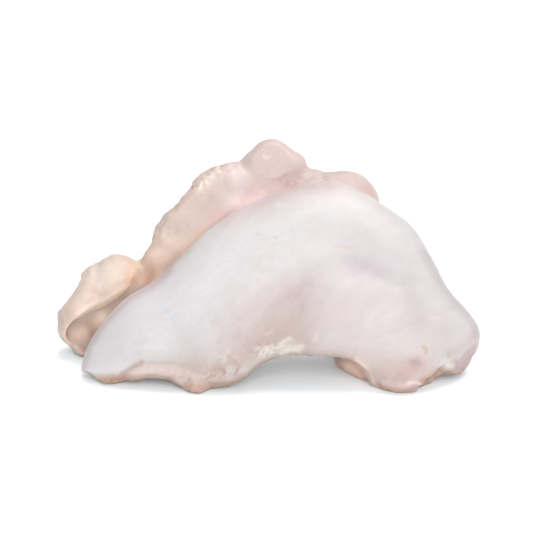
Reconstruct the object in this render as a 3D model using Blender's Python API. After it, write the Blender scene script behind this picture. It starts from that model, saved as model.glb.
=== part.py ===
"""A natural piece of pink chalcedony that stands on its own broken feet.

It is one stone, so it is one solid. A pale, milky fold arches from a pointed left foot to a broad right
foot. A crust of rounded lobes grows behind its upper edge: a hollow ear at the far left, a rough ridge, a
knob at the top and a smooth dome. The back is a field of low bubbles, and the underside is a low vault
between the feet.

The forms are laid out in millimetres on a drawing plane that leans back by LEAN: x runs to the right, z up
the plane and depth away from the viewer, square to the plane. A turn is in degrees in that plane, from x
towards z. The finished stone is set down on z = 0, with the middle of its box over the origin.
"""

import math

import bmesh
import bpy
import numpy as np
from mathutils import Matrix, Vector

MM = 0.001
LEAN = math.radians(20)
NAME = "chalcedony"

# A station of a sheet is its upper edge (x, z), its lower edge (x, z), the depth of either edge, and how far
# the front and the back swell from there. The fold's stations run from its left tip to its right tip.
FOLD_STATIONS = (
    (-31.1, 4.2, -31.0, 3.9, 7.5, 7.0, 0.3, 0.3),
    (-30.4, 6.8, -28.8, 3.1, 8.0, 5.5, 2.4, 2.0),
    (-28.9, 9.8, -25.6, 2.7, 8.8, 4.6, 3.8, 2.8),
    (-26.4, 13.0, -21.6, 2.5, 9.6, 4.2, 5.2, 3.6),
    (-22.8, 16.5, -17.8, 2.6, 10.2, 4.0, 6.2, 4.8),
    (-18.4, 18.9, -14.2, 1.8, 10.8, 3.6, 6.8, 6.4),
    (-14.4, 22.7, -10.4, 1.2, 11.2, 3.0, 7.2, 7.6),
    (-10.2, 26.8, -6.9, 1.4, 11.4, 2.8, 7.4, 8.4),
    (-5.4, 30.2, -4.2, 2.6, 11.6, 2.4, 7.4, 8.6),
    (-0.2, 32.6, -1.2, 4.9, 11.8, 2.2, 7.2, 8.6),
    (4.6, 34.6, 1.8, 6.2, 12.0, 2.0, 7.2, 8.6),
    (9.8, 35.3, 5.4, 6.5, 12.0, 2.0, 7.2, 8.6),
    (15.0, 33.6, 8.8, 6.4, 11.8, 2.2, 7.2, 8.4),
    (20.0, 31.0, 12.8, 5.9, 11.4, 2.6, 7.2, 8.0),
    (24.2, 27.6, 16.2, 3.8, 10.8, 3.2, 7.0, 7.6),
    (27.4, 22.4, 18.8, 1.0, 10.2, 2.2, 6.6, 7.2),
    (30.0, 17.6, 22.6, 0.3, 9.6, 1.8, 6.2, 6.4),
    (33.0, 14.1, 26.0, 1.8, 9.2, 3.6, 5.4, 5.2),
    (35.2, 10.8, 29.0, 3.2, 8.8, 5.6, 4.2, 4.0),
    (34.9, 7.7, 32.2, 3.6, 8.4, 6.8, 2.2, 2.2),
    (33.4, 5.4, 33.2, 5.0, 8.0, 7.8, 0.3, 0.3),
)

# Swells and dips of the fold's front: place (x, z), reach along and across, turn, height towards the viewer.
FOLD_RELIEF = (
    ((12.6, 14.8), (5.6, 6.0), 20, 0.9),
    ((3.6, 15.5), (3.6, 8.0), -25, -0.8),
    ((17.0, 21.2), (8.0, 2.6), -22, -0.6),
    ((20.5, 26.0), (5.0, 4.0), -40, 0.7),
    ((29.8, 10.6), (4.6, 3.6), -30, 1.4),
    ((21.8, 5.0), (5.0, 3.0), 10, -1.0),
    ((-3.0, 25.0), (9.0, 4.0), 35, 0.9),
    ((-20.0, 11.5), (7.0, 4.0), 35, 0.8),
    ((-8.0, 6.0), (4.0, 3.0), 0, 0.5),
)

# The sheet of crust behind the fold's upper edge, from the heel of the ear to the dome.
CRUST_STATIONS = (
    (-31.2, 7.0, -27.6, 5.8, 17.4, 17.8, 0.4, 0.4),
    (-33.2, 9.6, -26.6, 7.2, 17.0, 17.8, 2.0, 2.6),
    (-33.8, 12.6, -25.2, 9.4, 16.6, 17.6, 3.0, 3.6),
    (-32.2, 15.8, -23.6, 12.0, 16.2, 17.2, 3.6, 4.2),
    (-29.8, 19.2, -21.6, 14.0, 16.0, 16.8, 3.8, 4.4),
    (-26.2, 21.8, -19.2, 15.8, 16.0, 16.4, 3.6, 4.4),
    (-22.4, 21.8, -16.6, 17.2, 16.4, 16.2, 3.0, 4.4),
    (-20.0, 23.4, -14.0, 18.4, 16.0, 15.8, 4.0, 4.4),
    (-17.2, 27.8, -10.8, 21.4, 15.4, 15.6, 4.8, 4.6),
    (-14.4, 32.2, -8.0, 24.6, 15.0, 15.4, 5.2, 4.8),
    (-10.6, 35.4, -5.2, 27.4, 14.8, 15.4, 5.2, 5.0),
    (-6.2, 37.4, -2.4, 29.2, 15.0, 15.6, 4.8, 5.0),
    (-1.6, 39.2, 0.4, 30.4, 15.6, 16.0, 3.8, 5.0),
    (2.8, 39.4, 3.6, 30.8, 16.0, 16.4, 3.6, 5.0),
    (6.4, 36.6, 7.0, 30.6, 16.2, 16.6, 3.4, 4.8),
    (10.2, 35.8, 10.4, 29.4, 16.2, 16.6, 3.0, 4.6),
    (14.2, 34.2, 13.4, 28.4, 16.2, 16.4, 2.4, 4.0),
    (17.0, 31.2, 15.8, 27.4, 16.0, 16.0, 0.5, 0.8),
)
CRUST_RELIEF = (
    ((-15.0, 25.0), (3.0, 1.6), 55, -0.6),
    ((-11.5, 29.5), (2.2, 2.0), 0, 0.5),
)

SHEET_FULLNESS = 2.3
SHEET_RINGS = 150
SHEET_SIDES = 72
FULL_RELIEF_SWELL = 4

# Lobes: place (x, z, depth), half sizes along, across and in depth, and turn.
CRUST_LOBES = {
    "ear crown": ((-25.1, 19.1, 15.0), (4.5, 4.1, 4.6), 0),
    "ear brow": ((-28.8, 17.6, 15.6), (4.8, 3.5, 4.6), 48),
    "ear back": ((-31.5, 13.6, 16.4), (4.8, 3.4, 4.6), 62),
    "ear lobe": ((-32.4, 10.9, 16.6), (3.1, 3.1, 4.2), 0),
    "ear heel": ((-29.9, 8.6, 18.8), (3.1, 3.3, 4.8), 0),
    "ridge foot": ((-18.2, 22.4, 15.4), (3.9, 2.6, 3.8), 50),
    "ridge low": ((-15.5, 26.8, 15.0), (5.0, 3.5, 4.2), 60),
    "ridge middle": ((-12.0, 30.2, 14.8), (5.6, 3.6, 4.4), 50),
    "ridge high": ((-8.6, 33.9, 14.8), (5.2, 3.8, 4.4), 38),
    "ridge top": ((-6.2, 35.5, 15.0), (3.2, 3.0, 4.4), 0),
    "crag": ((-5.4, 37.4, 15.0), (1.5, 1.5, 2.4), 0),
    "knob": ((0.7, 37.9, 16.2), (4.4, 4.7, 5.0), 0),
    "knob left": ((-1.8, 38.0, 16.2), (3.4, 2.8, 4.2), 50),
    "knob right": ((3.8, 37.7, 16.4), (2.8, 3.0, 4.2), 0),
    "crest": ((8.0, 34.9, 16.2), (3.2, 2.7, 4.0), 0),
    "dome": ((12.6, 31.0, 16.6), (6.2, 6.25, 5.8), 0),
}
FOOT_LOBES = {
    "front toe": ((-11.8, 1.8, 2.6), (2.4, 2.1, 3.4), 0),
    "toe slope": ((-13.8, 2.3, 3.6), (3.0, 1.2, 3.2), -28),
    "left toe": ((-25.2, 3.3, 5.4), (3.8, 1.5, 2.6), 7),
    "heel front": ((22.0, 3.6, 4.6), (5.8, 3.8, 5.6), 0),
    "heel corner": ((22.6, 2.4, 4.0), (3.6, 3.3, 4.5), 0),
    "heel neck": ((15.6, 5.3, 8.4), (4.8, 2.75, 5.4), -35),
    "heel back": ((17.2, 6.4, 12.0), (6.4, 4.2, 7.0), 0),
    "heel hidden": ((19.5, 9.0, 17.0), (6.0, 4.2, 5.0), 0),
    "heel wall": ((19.8, 14.0, 14.0), (6.0, 5.6, 5.0), 0),
    "heel bubble": ((15.2, 11.6, 16.8), (3.4, 3.2, 3.6), 0),
    "heel ledge": ((24.4, 10.8, 15.2), (3.8, 3.4, 4.0), 0),
    "heel right": ((28.6, 6.4, 10.4), (4.4, 3.2, 4.6), 0),
}
LOBE_DETAIL = 4

# The hollow inside the ear: a sheet that is cut out, from the ear's heel up to its crown.
EAR_HOLLOW = (
    (-31.6, 6.9, -31.0, 6.6, 14.4, 14.4, 0.6, 0.3),
    (-33.2, 8.6, -29.6, 6.6, 14.4, 14.0, 6.0, 1.8),
    (-33.6, 10.2, -28.2, 7.8, 14.4, 13.6, 8.0, 2.6),
    (-32.4, 12.0, -27.0, 9.2, 14.2, 13.4, 8.0, 2.8),
    (-30.0, 13.8, -25.4, 10.8, 14.0, 13.2, 8.0, 2.8),
    (-27.0, 15.0, -24.0, 12.2, 13.8, 13.2, 8.0, 2.6),
    (-24.9, 16.3, -22.6, 13.8, 13.2, 12.8, 8.0, 1.6),
    (-23.0, 18.0, -21.6, 15.6, 12.6, 12.6, 6.0, 0.8),
    (-22.2, 19.6, -21.4, 18.2, 12.4, 12.6, 0.6, 0.2),
)

# Flat faces: a place (x, z, depth) on the face, and the way it looks. A block is taken off in front of each.
KNOB_FACES = {
    "knob front": ((0.8, 38.0, 12.3), (0.05, 0.28, -0.96)),
    "knob right": ((3.4, 41.2, 15.0), (0.50, 0.85, -0.12)),
}
END_FACES = {
    "right end": ((33.2, 6.4, 5.4), (0.72, -0.50, -0.48)),
}
FACE_BLOCK = 9.0

# Bubbles of a sheet's back: how many, their sizes, and the part of the sheet that they cover, as shares of
# its length and of the way around a ring. Each is sunk into the sheet and stays clear of the floor.
FOLD_BUBBLES = (40, (2.6, 4.6), (0.18, 0.78), (0.66, 0.88))
CRUST_BUBBLES = (34, (1.9, 2.9), (0.14, 0.90), (0.58, 0.79))
BUBBLE_SINK = 0.5
BUBBLE_CLEARANCE = 0.6
SPREAD_ALONG = 0.7548777
SPREAD_AROUND = 0.5698403
BUBBLE_SEED = 7

VOXEL = 0.5
WORN_ROUNDS = 3
FINISHED_TRIANGLES = 8600
FLOOR_SIZE = 0.2


def clear_scene():
    for old in list(bpy.data.objects):
        bpy.data.objects.remove(old)


def curve_through(knots, count):
    """Catmull-Rom curve through the rows of knots, read at count evenly spaced steps."""
    knots = np.asarray(knots, float)
    padded = np.vstack([2 * knots[0] - knots[1], knots, 2 * knots[-1] - knots[-2]])
    steps = np.linspace(0, len(knots) - 1, count)
    first = np.minimum(steps.astype(int), len(knots) - 2)
    t = (steps - first)[:, None]
    a, b, c, d = (padded[first + k] for k in range(4))
    square, cube = 2 * a - 5 * b + 4 * c - d, 3 * b - a - 3 * c + d
    return 0.5 * (2 * b + (c - a) * t + square * t**2 + cube * t**3)


def relief_at(x, z, swells):
    """How far a sheet's front stands out at (x, z): a sum of turned Gaussian swells and dips."""
    height = np.zeros_like(x)
    for (at_x, at_z), (along, across), turn, rise in swells:
        c, s = math.cos(math.radians(turn)), math.sin(math.radians(turn))
        u = ((x - at_x) * c + (z - at_z) * s) / along
        v = ((z - at_z) * c - (x - at_x) * s) / across
        height += rise * np.exp(-(u * u + v * v))
    return height


def sheet_rings(stations, swells):
    """Rings of a sheet, (rings, sides, 3) as x, z, depth: superellipses between its upper and lower edge."""
    stations = curve_through(stations, SHEET_RINGS)[:, None, :]
    angle = np.linspace(0, 2 * math.pi, SHEET_SIDES, endpoint=False)[None, :]
    power = 2 / SHEET_FULLNESS
    across = np.sign(np.cos(angle)) * np.abs(np.cos(angle)) ** power
    outward = np.sign(np.sin(angle)) * np.abs(np.sin(angle)) ** power
    upper, lower = stations[..., 0:2], stations[..., 2:4]
    plane = (upper + lower) / 2 + (upper - lower) / 2 * across[..., None]
    edge_depth = (stations[..., 4] + stations[..., 5]) / 2 + (stations[..., 4] - stations[..., 5]) / 2 * across
    front_swell, back_swell = stations[..., 6], stations[..., 7]
    relief = relief_at(plane[..., 0], plane[..., 1], swells) * np.minimum(front_swell / FULL_RELIEF_SWELL, 1)
    depth = edge_depth - (front_swell + relief) * np.maximum(outward, 0) + back_swell * np.maximum(-outward, 0)
    return np.concatenate([plane, depth[..., None]], axis=2)


def leaned(x, z, depth):
    """A point of the drawing plane, in millimetres, set in the stone's own upright frame, in metres."""
    y = depth * math.cos(LEAN) + z * math.sin(LEAN)
    up = z * math.cos(LEAN) - depth * math.sin(LEAN)
    return Vector((x, y, up)) * MM


def add_sheet(bm, stations, swells):
    rings = [[bm.verts.new(leaned(*point)) for point in ring] for ring in sheet_rings(stations, swells)]
    for one, other in zip(rings, rings[1:]):
        for i, vertex in enumerate(one):
            after = (i + 1) % len(one)
            bm.faces.new((vertex, one[after], other[after], other[i]))
    bm.faces.new(rings[0][::-1])
    bm.faces.new(rings[-1])


def lobe_matrix(place, half_sizes, turn):
    """Takes the unit ball to a lobe: stretched, turned in the drawing plane, moved and leaned back."""
    stretch = Matrix.Diagonal((half_sizes[0], half_sizes[2], half_sizes[1], 1))
    turned = Matrix.Rotation(-math.radians(turn), 4, "Y")
    placed = Matrix.Translation((place[0], place[2], place[1]))
    lean = Matrix.Rotation(-LEAN, 4, "X")
    return Matrix.Scale(MM, 4) @ lean @ placed @ turned @ stretch


def add_lobes(bm, lobes):
    for lobe in lobes:
        bmesh.ops.create_icosphere(bm, subdivisions=LOBE_DETAIL, radius=1, matrix=lobe_matrix(*lobe))


def back_bubbles(stations, plan):
    """Lobes sunk into a sheet's back, spread evenly over it by the steps of a two-way golden ratio."""
    count, sizes, span, wrap = plan
    rings = sheet_rings(stations, ())
    chance = np.random.default_rng(BUBBLE_SEED)
    bubbles = []
    for i in range(count):
        along = np.interp((i * SPREAD_ALONG) % 1, (0, 1), span)
        around = np.interp((i * SPREAD_AROUND) % 1, (0, 1), wrap)
        x, z, depth = rings[int(along * SHEET_RINGS), int(around * SHEET_SIDES)]
        size = chance.uniform(*sizes)
        place = (x, z, depth - size * BUBBLE_SINK)
        if leaned(*place).z / MM - size > BUBBLE_CLEARANCE:
            bubbles.append((place, (size, size, size), 0))
    return bubbles


def add_block(bm, place, look):
    """A block that stands on a flat face and looks the way it does."""
    out = (leaned(*look) / MM).normalized()
    middle = leaned(*place) + out * FACE_BLOCK / 2 * MM
    turned = out.to_track_quat("Z", "Y").to_matrix().to_4x4()
    bmesh.ops.create_cube(bm, size=FACE_BLOCK * MM, matrix=Matrix.Translation(middle) @ turned)


def new_object(name, fill):
    """A mesh object whose shape the function fill adds to an empty bmesh."""
    mesh = bpy.data.meshes.new(name)
    bm = bmesh.new()
    fill(bm)
    bmesh.ops.recalc_face_normals(bm, faces=bm.faces)
    bm.to_mesh(mesh)
    bm.free()
    thing = bpy.data.objects.new(name, mesh)
    bpy.context.scene.collection.objects.link(thing)
    return thing


def cutter(name, fill):
    tool = new_object(name, fill)
    tool.hide_render = True
    tool.display_type = "WIRE"
    return tool


def add_skin(thing):
    """One skin around everything that overlaps."""
    remesh = thing.modifiers.new("one skin", "REMESH")
    remesh.mode = "VOXEL"
    remesh.voxel_size = VOXEL * MM


def add_cut(thing, tool):
    cut = thing.modifiers.new(tool.name, "BOOLEAN")
    cut.operation = "DIFFERENCE"
    cut.object = tool


def add_faces(thing, faces):
    """Cuts a thing flat at each face. Returns the cutters."""
    tools = [cutter(name, lambda bm, face=face: add_block(bm, *face)) for name, face in faces.items()]
    for tool in tools:
        add_cut(thing, tool)
    return tools


def evaluated_mesh(thing):
    bpy.context.view_layer.update()
    return bpy.data.meshes.new_from_object(thing.evaluated_get(bpy.context.evaluated_depsgraph_get()))


def fill_crust(bm):
    add_sheet(bm, CRUST_STATIONS, CRUST_RELIEF)
    add_lobes(bm, CRUST_LOBES.values())
    add_lobes(bm, back_bubbles(CRUST_STATIONS, CRUST_BUBBLES))


def carved_crust():
    """The mesh of the crust with the ear hollowed out and the knob's faces flat, before it joins the fold."""
    crust = new_object("crust", fill_crust)
    hollow = cutter("ear hollow", lambda bm: add_sheet(bm, EAR_HOLLOW, ()))
    add_skin(crust)
    add_cut(crust, hollow)
    tools = add_faces(crust, KNOB_FACES)
    mesh = evaluated_mesh(crust)
    for helper in [crust, hollow, *tools]:
        bpy.data.objects.remove(helper)
    return mesh


def fill_growth(bm):
    bm.from_mesh(carved_crust())
    add_sheet(bm, FOLD_STATIONS, FOLD_RELIEF)
    add_lobes(bm, FOOT_LOBES.values())
    add_lobes(bm, back_bubbles(FOLD_STATIONS, FOLD_BUBBLES))


def fill_floor(bm):
    block = Matrix.Translation((0, 0, -FLOOR_SIZE / 2)) @ Matrix.Scale(FLOOR_SIZE, 4)
    bmesh.ops.create_cube(bm, size=1, matrix=block)


def chalcedony_material():
    material = bpy.data.materials.new("milky chalcedony")
    material.use_nodes = True
    shader = material.node_tree.nodes["Principled BSDF"]
    shader.inputs["Base Color"].default_value = (0.80, 0.70, 0.68, 1)
    shader.inputs["Roughness"].default_value = 0.45
    shader.inputs["Metallic"].default_value = 0.0
    return material


def centre_over_origin(stone):
    """Moves the stone sideways so that the middle of its box is over the origin."""
    corners = np.array([vertex.co for vertex in evaluated_mesh(stone).vertices])
    middle = (corners.min(axis=0) + corners.max(axis=0)) / 2
    stone.location = (-middle[0], -middle[1], 0)


def build():
    clear_scene()
    stone = new_object(NAME, fill_growth)
    add_skin(stone)
    worn = stone.modifiers.new("worn", "SMOOTH")
    worn.factor = 0.5
    worn.iterations = WORN_ROUNDS
    dense_triangles = 2 * len(evaluated_mesh(stone).polygons)
    fewer = stone.modifiers.new("fewer faces", "DECIMATE")
    fewer.ratio = FINISHED_TRIANGLES / dense_triangles
    add_faces(stone, END_FACES)
    add_cut(stone, cutter("floor", fill_floor))
    centre_over_origin(stone)
    stone.data.materials.append(chalcedony_material())
    return stone


build()
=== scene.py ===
"""A natural piece of pink chalcedony on a pale table, in soft studio light.

The stone's forms are laid out in millimetres on a drawing plane that leans back by LEAN: x runs to the
right, z up the plane and depth away from the viewer, square to the plane. A turn is in degrees in that plane,
from x towards z. Each form is a closed surface worked out from two parameters. One skin is drawn around all of
them, its points are moved by worked-out relief, and its colour is laid on in layers, each a named colour under
a worked-out mask. Some of these colours, and the marks that lighten or darken it after them, are painted light
and painted shade.
"""

import itertools
import math

import bpy
import numpy as np
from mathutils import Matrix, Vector


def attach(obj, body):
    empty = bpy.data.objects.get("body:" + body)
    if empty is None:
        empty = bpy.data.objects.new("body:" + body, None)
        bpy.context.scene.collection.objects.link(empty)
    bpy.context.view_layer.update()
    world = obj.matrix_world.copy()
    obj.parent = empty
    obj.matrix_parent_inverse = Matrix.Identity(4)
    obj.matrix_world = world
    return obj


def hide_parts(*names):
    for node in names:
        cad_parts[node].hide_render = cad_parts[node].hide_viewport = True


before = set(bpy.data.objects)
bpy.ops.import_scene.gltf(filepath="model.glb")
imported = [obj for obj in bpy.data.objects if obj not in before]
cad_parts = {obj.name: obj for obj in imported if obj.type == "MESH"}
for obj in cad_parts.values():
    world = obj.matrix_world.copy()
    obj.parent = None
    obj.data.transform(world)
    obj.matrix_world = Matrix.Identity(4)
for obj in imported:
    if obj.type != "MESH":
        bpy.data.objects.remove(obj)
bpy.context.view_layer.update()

MM = 0.001
LEAN = math.radians(20)
NODE = "chalcedony"

# A station of a sheet is its upper edge (x, z), its lower edge (x, z), the depth of either edge, and how far
# the front and the back swell from there. The fold's stations run from its left tip to its right tip.
FOLD_STATIONS = (
    (-31.1, 4.2, -31.0, 3.9, 7.5, 7.0, 0.3, 0.3),
    (-30.4, 6.8, -28.8, 3.1, 8.0, 5.5, 2.4, 2.0),
    (-28.9, 9.8, -25.6, 2.7, 8.8, 4.6, 3.8, 2.8),
    (-26.4, 13.0, -21.6, 2.5, 9.6, 4.2, 5.2, 3.6),
    (-22.8, 16.5, -17.8, 2.6, 10.2, 4.0, 6.2, 4.8),
    (-18.4, 18.9, -14.2, 1.8, 10.8, 3.6, 6.8, 6.4),
    (-14.4, 22.7, -10.4, 1.2, 11.2, 3.0, 7.2, 7.6),
    (-10.2, 26.8, -6.9, 1.4, 11.4, 2.8, 7.4, 8.4),
    (-5.4, 30.2, -4.2, 2.6, 11.6, 2.4, 7.4, 8.6),
    (-0.2, 32.6, -1.2, 4.9, 11.8, 2.2, 7.2, 8.6),
    (4.6, 34.6, 1.8, 6.2, 12.0, 2.0, 7.2, 8.6),
    (9.8, 35.3, 5.4, 6.5, 12.0, 2.0, 7.2, 8.6),
    (15.0, 33.6, 8.8, 6.4, 11.8, 2.2, 7.2, 8.4),
    (20.0, 31.0, 12.8, 5.9, 11.4, 2.6, 7.2, 8.0),
    (24.2, 27.6, 16.2, 3.8, 10.8, 3.2, 7.0, 7.6),
    (27.4, 22.4, 18.8, 1.0, 10.2, 2.2, 6.6, 7.2),
    (30.0, 17.6, 22.6, 0.3, 9.6, 1.8, 6.2, 6.4),
    (33.0, 14.1, 26.0, 1.8, 9.2, 3.6, 5.4, 5.2),
    (35.2, 10.8, 29.0, 3.2, 8.8, 5.6, 4.2, 4.0),
    (34.9, 7.7, 32.2, 3.6, 8.4, 6.8, 2.2, 2.2),
    (33.4, 5.4, 33.2, 5.0, 8.0, 7.8, 0.3, 0.3),
)

# Swells and dips of the fold's front: place (x, z), reach along and across, turn, height towards the viewer.
FOLD_RELIEF = (
    ((12.6, 14.8), (5.6, 6.0), 20, 0.9),
    ((3.6, 15.5), (3.6, 8.0), -25, -0.8),
    ((17.0, 21.2), (8.0, 2.6), -22, -0.6),
    ((20.5, 26.0), (5.0, 4.0), -40, 0.7),
    ((29.8, 10.6), (4.6, 3.6), -30, 1.4),
    ((21.8, 5.0), (5.0, 3.0), 10, -1.0),
    ((-3.0, 25.0), (9.0, 4.0), 35, 0.9),
    ((-20.0, 11.5), (7.0, 4.0), 35, 0.8),
    ((-8.0, 6.0), (4.0, 3.0), 0, 0.5),
)

# The sheet of crust behind the fold's upper edge, from the heel of the ear to the dome.
CRUST_STATIONS = (
    (-31.2, 7.0, -27.6, 5.8, 17.4, 17.8, 0.4, 0.4),
    (-33.2, 9.6, -26.6, 7.2, 17.0, 17.8, 2.0, 2.6),
    (-33.8, 12.6, -25.2, 9.4, 16.6, 17.6, 3.0, 3.6),
    (-32.2, 15.8, -23.6, 12.0, 16.2, 17.2, 3.6, 4.2),
    (-29.8, 19.2, -21.6, 14.0, 16.0, 16.8, 3.8, 4.4),
    (-26.2, 21.8, -19.2, 15.8, 16.0, 16.4, 3.6, 4.4),
    (-22.4, 21.8, -16.6, 17.2, 16.4, 16.2, 3.0, 4.4),
    (-20.0, 23.4, -14.0, 18.4, 16.0, 15.8, 4.0, 4.4),
    (-17.2, 27.8, -10.8, 21.4, 15.4, 15.6, 4.8, 4.6),
    (-14.4, 32.2, -8.0, 24.6, 15.0, 15.4, 5.2, 4.8),
    (-10.6, 35.4, -5.2, 27.4, 14.8, 15.4, 5.2, 5.0),
    (-6.2, 37.4, -2.4, 29.2, 15.0, 15.6, 4.8, 5.0),
    (-1.6, 39.2, 0.4, 30.4, 15.6, 16.0, 3.8, 5.0),
    (2.8, 39.4, 3.6, 30.8, 16.0, 16.4, 3.6, 5.0),
    (6.4, 36.6, 7.0, 30.6, 16.2, 16.6, 3.4, 4.8),
    (10.2, 35.8, 10.4, 29.4, 16.2, 16.6, 3.0, 4.6),
    (14.2, 34.2, 13.4, 28.4, 16.2, 16.4, 2.4, 4.0),
    (17.0, 31.2, 15.8, 27.4, 16.0, 16.0, 0.5, 0.8),
)
CRUST_RELIEF = (
    ((-15.0, 25.0), (3.0, 1.6), 55, -0.6),
    ((-11.5, 29.5), (2.2, 2.0), 0, 0.5),
)

# How full a sheet's section is, its grid, and the front swell from which its relief stands at its full
# height.
SHEET_FULLNESS = 2.3
SHEET_RINGS = 240
SHEET_SIDES = 120
FULL_RELIEF_SWELL = 4

# Lobes: place (x, z, depth), half sizes along, across and in depth, and turn.
CRUST_LOBES = {
    "ear crown": ((-25.1, 19.1, 15.0), (4.5, 4.1, 4.6), 0),
    "ear brow": ((-28.8, 17.6, 15.6), (4.8, 3.5, 4.6), 48),
    "ear back": ((-31.5, 13.6, 16.4), (4.8, 3.4, 4.6), 62),
    "ear lobe": ((-32.4, 10.9, 16.6), (3.1, 3.1, 4.2), 0),
    "ear heel": ((-29.9, 8.6, 18.8), (3.1, 3.3, 4.8), 0),
    "ridge foot": ((-18.2, 22.4, 15.4), (3.9, 2.6, 3.8), 50),
    "ridge low": ((-15.5, 26.8, 15.0), (5.0, 3.5, 4.2), 60),
    "ridge middle": ((-12.0, 30.2, 14.8), (5.6, 3.6, 4.4), 50),
    "ridge high": ((-8.6, 33.9, 14.8), (5.2, 3.8, 4.4), 38),
    "ridge top": ((-6.2, 35.5, 15.0), (3.2, 3.0, 4.4), 0),
    "crag": ((-5.4, 37.4, 15.0), (1.5, 1.5, 2.4), 0),
    "knob": ((0.7, 37.9, 16.2), (4.4, 4.7, 5.0), 0),
    "knob left": ((-1.8, 38.0, 16.2), (3.4, 2.8, 4.2), 50),
    "knob right": ((3.8, 37.7, 16.4), (2.8, 3.0, 4.2), 0),
    "crest": ((8.0, 34.9, 16.2), (3.2, 2.7, 4.0), 0),
    "dome": ((12.6, 31.0, 16.6), (6.2, 6.25, 5.8), 0),
}
FOOT_LOBES = {
    "front toe": ((-11.8, 1.8, 2.6), (2.4, 2.1, 3.4), 0),
    "toe slope": ((-13.8, 2.3, 3.6), (3.0, 1.2, 3.2), -28),
    "left toe": ((-25.2, 3.3, 5.4), (3.8, 1.5, 2.6), 7),
    "heel front": ((22.0, 3.6, 4.6), (5.8, 3.8, 5.6), 0),
    "heel corner": ((22.6, 2.4, 4.0), (3.6, 3.3, 4.5), 0),
    "heel neck": ((15.6, 5.3, 8.4), (4.8, 2.75, 5.4), -35),
    "heel back": ((17.2, 6.4, 12.0), (6.4, 4.2, 7.0), 0),
    "heel hidden": ((19.5, 9.0, 17.0), (6.0, 4.2, 5.0), 0),
    "heel wall": ((19.8, 14.0, 14.0), (6.0, 5.6, 5.0), 0),
    "heel bubble": ((15.2, 11.6, 16.8), (3.4, 3.2, 3.6), 0),
    "heel ledge": ((24.4, 10.8, 15.2), (3.8, 3.4, 4.0), 0),
    "heel right": ((28.6, 6.4, 10.4), (4.4, 3.2, 4.6), 0),
}
LOBE_RINGS = 40
LOBE_SIDES = 64

# The hollow inside the ear: a sheet that is cut out, from the ear's heel up to its crown.
EAR_HOLLOW = (
    (-31.6, 6.9, -31.0, 6.6, 14.4, 14.4, 0.6, 0.3),
    (-33.2, 8.6, -29.6, 6.6, 14.4, 14.0, 6.0, 1.8),
    (-33.6, 10.2, -28.2, 7.8, 14.4, 13.6, 8.0, 2.6),
    (-32.4, 12.0, -27.0, 9.2, 14.2, 13.4, 8.0, 2.8),
    (-30.0, 13.8, -25.4, 10.8, 14.0, 13.2, 8.0, 2.8),
    (-27.0, 15.0, -24.0, 12.2, 13.8, 13.2, 8.0, 2.6),
    (-24.9, 16.3, -22.6, 13.8, 13.2, 12.8, 8.0, 1.6),
    (-23.0, 18.0, -21.6, 15.6, 12.6, 12.6, 6.0, 0.8),
    (-22.2, 19.6, -21.4, 18.2, 12.4, 12.6, 0.6, 0.2),
)

# Bubbles of a sheet's back: how many, their sizes, and the part of the sheet that they cover, as shares of
# its length and of the way around a ring. Their places are read on a coarser grid of that sheet. The steps
# that spread them are one over the plastic number, and one over its square.
FOLD_BUBBLES = (40, (2.6, 4.6), (0.18, 0.78), (0.66, 0.88))
CRUST_BUBBLES = (34, (1.9, 2.9), (0.14, 0.90), (0.58, 0.79))
BUBBLE_RINGS = 150
BUBBLE_SIDES = 72
BUBBLE_SINK = 0.5
BUBBLE_CLEARANCE = 0.6
SPREAD_ALONG = 0.7548777
SPREAD_AROUND = 0.5698403
BUBBLE_SEED = 7

# The skin's voxel, and the rounds of smoothing that wear it before its faces are cut flat and soften it after
# that.
SKIN_VOXEL = 0.3156
WORN_ROUNDS = 4
SOFTENED_ROUNDS = 3

# The seam is the run of the fold's upper edge from its left tip to the end of the dome. Along it the crust
# flows into the fold: the share of that flow by x, how far it reaches to either side, and how many rounds of
# it there are.
SEAM_STATIONS = 14
SEAM_POINTS = 90
SEAM_FLOW = ((-30.0, -24.0, -12.0, -6.0, 9.0, 13.0, 20.0), (0.0, 0.25, 0.35, 1.0, 1.0, 0.3, 0.0))
SEAM_REACH = 2.3
SEAM_ROUNDS = 80

# The depth of the fold's middle, by z: below the first z and above the last it stays the same. To the right
# end it moves back, by x.
FOLD_MIDDLE = ((5.0, 33.0), (2.5, 10.6))
FOLD_END_BACK = ((24.0, 34.0), (0.0, 5.0))

# Faces broken or grown flat: the part they lie on, a place (x, z, depth) on the flat face, the way it looks,
# and the reach of the part that it cuts, around the place. The cut fades out up to FACE_FADE times that
# reach.
FLAT_FACES = {
    "knob front": ("crust", (0.8, 38.0, 12.3), (0.05, 0.28, -0.96), 5.0),
    "knob right": ("crust", (3.4, 41.2, 15.0), (0.50, 0.85, -0.12), 4.6),
    "ridge front": ("crust", (-12.0, 30.6, 11.3), (-0.16, 0.12, -0.98), 6.0),
    "ridge outer": ("crust", (-17.8, 28.9, 14.0), (-0.80, 0.45, -0.40), 3.4),
    "ridge upper": ("crust", (-11.0, 36.6, 14.0), (-0.55, 0.72, -0.42), 3.6),
    "ear brow": ("crust", (-30.7, 20.0, 14.0), (-0.66, 0.66, -0.36), 3.0),
    "ear side": ("crust", (-35.2, 13.4, 15.0), (-0.86, 0.36, -0.36), 3.0),
    "ear shoulder": ("crust", (-33.0, 16.2, 15.6), (-0.82, 0.57, -0.05), 3.0),
    "right end": ("fold", (33.2, 6.4, 5.4), (0.72, -0.50, -0.48), 4.5),
    "under right end": ("fold", (30.5, 3.6, 4.6), (0.05, -0.86, -0.50), 3.4),
    "heel corner": ("front", (24.8, 1.0, 3.0), (0.90, -0.42, -0.05), 2.4),
    "heel slope": ("front", (26.7, 2.6, 3.6), (0.46, -0.87, -0.05), 2.4),
}
FACE_FADE = 1.4

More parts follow.
